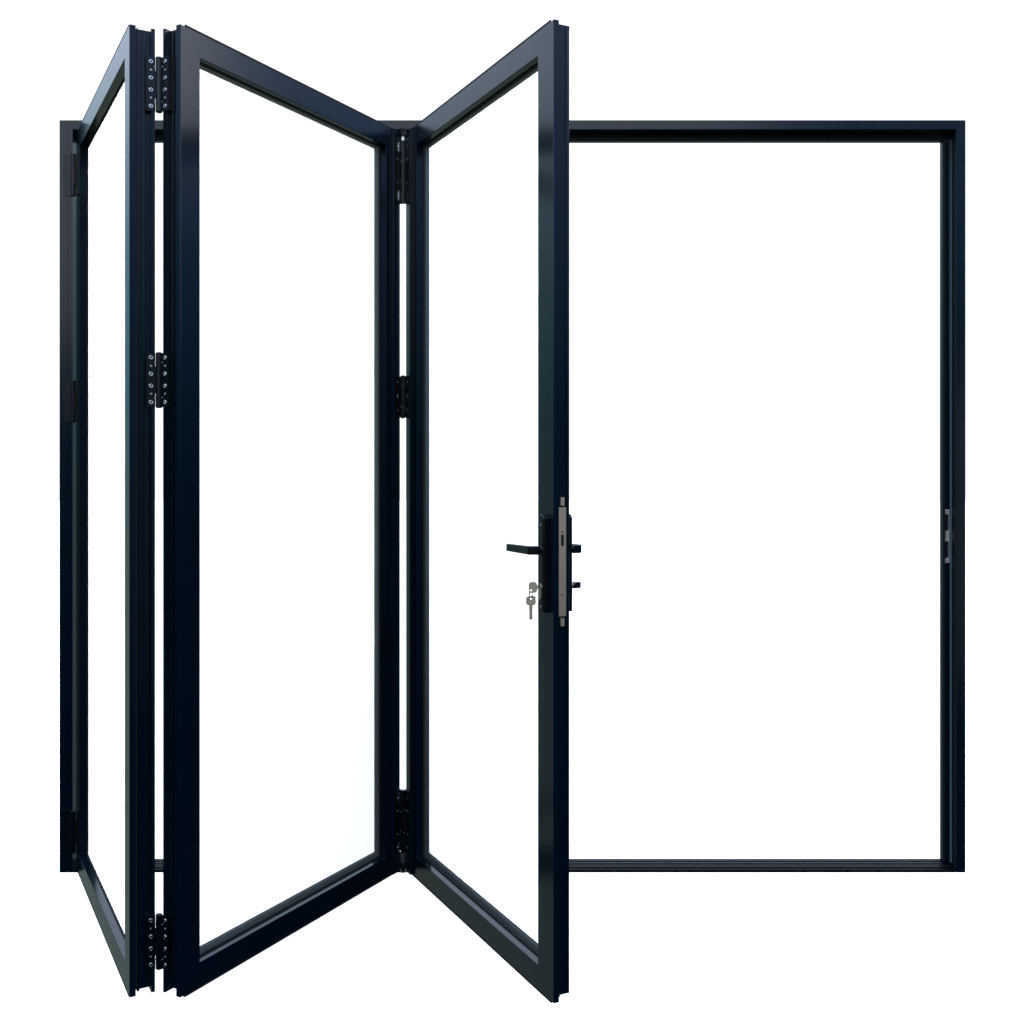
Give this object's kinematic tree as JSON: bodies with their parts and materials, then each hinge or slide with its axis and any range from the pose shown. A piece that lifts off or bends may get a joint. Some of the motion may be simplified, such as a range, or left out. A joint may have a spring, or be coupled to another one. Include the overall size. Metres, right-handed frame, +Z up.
{
  "type": "bi-fold door",
  "caption": "Outward-folding glazed aluminium bi-fold door, half open, in its frame with a hanging track, folding hinges, lever handles and a lock with keys.",
  "frame": {"origin": "middle of the underside of the threshold, on the floor", "axes": "+X along the frame to the lock jamb, +Y from outside to inside, +Z up"},
  "size_m": [2.77, 0.8868, 2.3],
  "materials": {
    "powder_coat": "satin",
    "pane_glass": "gloss",
    "hinge_black": "satin",
    "zinc_steel": "satin",
    "lock_nickel": "satin",
    "key_nickel": "gloss",
    "handle_black": "satin"
  },
  "bodies": {
    "door": {"bottom_guide": "zinc_steel", "head": "powder_coat", "hinge_filler": "powder_coat", "hinge_pins": "zinc_steel", "inside_backplate": "handle_black", "jamb_hinge_plates": "hinge_black", "key": "key_nickel", "key_ring": "key_nickel", "leaf_1_adapter": "powder_coat", "leaf_1_beads": "powder_coat", "leaf_1_fold_hinge_plates": "hinge_black", "leaf_1_glass": "pane_glass", "leaf_1_jamb_hinge_plates": "hinge_black", "leaf_1_left_stile": "powder_coat", "leaf_1_rails": "powder_coat", "leaf_1_right_stile": "powder_coat", "leaf_2_adapters": "powder_coat", "leaf_2_beads": "powder_coat", "leaf_2_carrier_hinge_plates": "hinge_black", "leaf_2_fold_hinge_plates": "hinge_black", "leaf_2_glass": "pane_glass", "leaf_2_left_stile": "powder_coat", "leaf_2_rails": "powder_coat", "leaf_2_right_stile": "powder_coat", "leaf_3_adapter": "powder_coat", "leaf_3_beads": "powder_coat", "leaf_3_carrier_hinge_plates": "hinge_black", "leaf_3_glass": "pane_glass", "leaf_3_left_stile": "powder_coat", "leaf_3_rails": "powder_coat", "leaf_3_right_stile": "powder_coat", "left_jamb": "powder_coat", "lock_bolts": "lock_nickel", "lock_cylinder": "lock_nickel", "lock_faceplate": "lock_nickel", "lock_rods": "lock_nickel", "outside_backplate": "handle_black", "right_jamb": "powder_coat", "sill": "powder_coat", "spare_key": "key_nickel", "strike_plate": "lock_nickel", "top_carrier": "zinc_steel"},
    "lever": {"outside_lever": "handle_black", "inside_lever": "handle_black", "lever_spindle": "zinc_steel"},
    "thumb_knob": {"thumb_turn": "handle_black"}
  },
  "joints": [
    {"name": "lever_turn", "type": "hinge", "parent": "door", "child": "lever", "pos_m": [0.07948, -0.81091, 1.045], "axis": [-0.9003, -0.4352, 0], "range_deg": [0, 45], "stiffness_Nm_per_rad": 1.2, "springref_deg": -28.65},
    {"name": "thumb_turn_spin", "type": "hinge", "parent": "door", "child": "thumb_knob", "pos_m": [0.12855, -0.78719, 0.96], "axis": [0.9003, 0.4352, 0], "range_deg": [0, 90]}
  ]
}
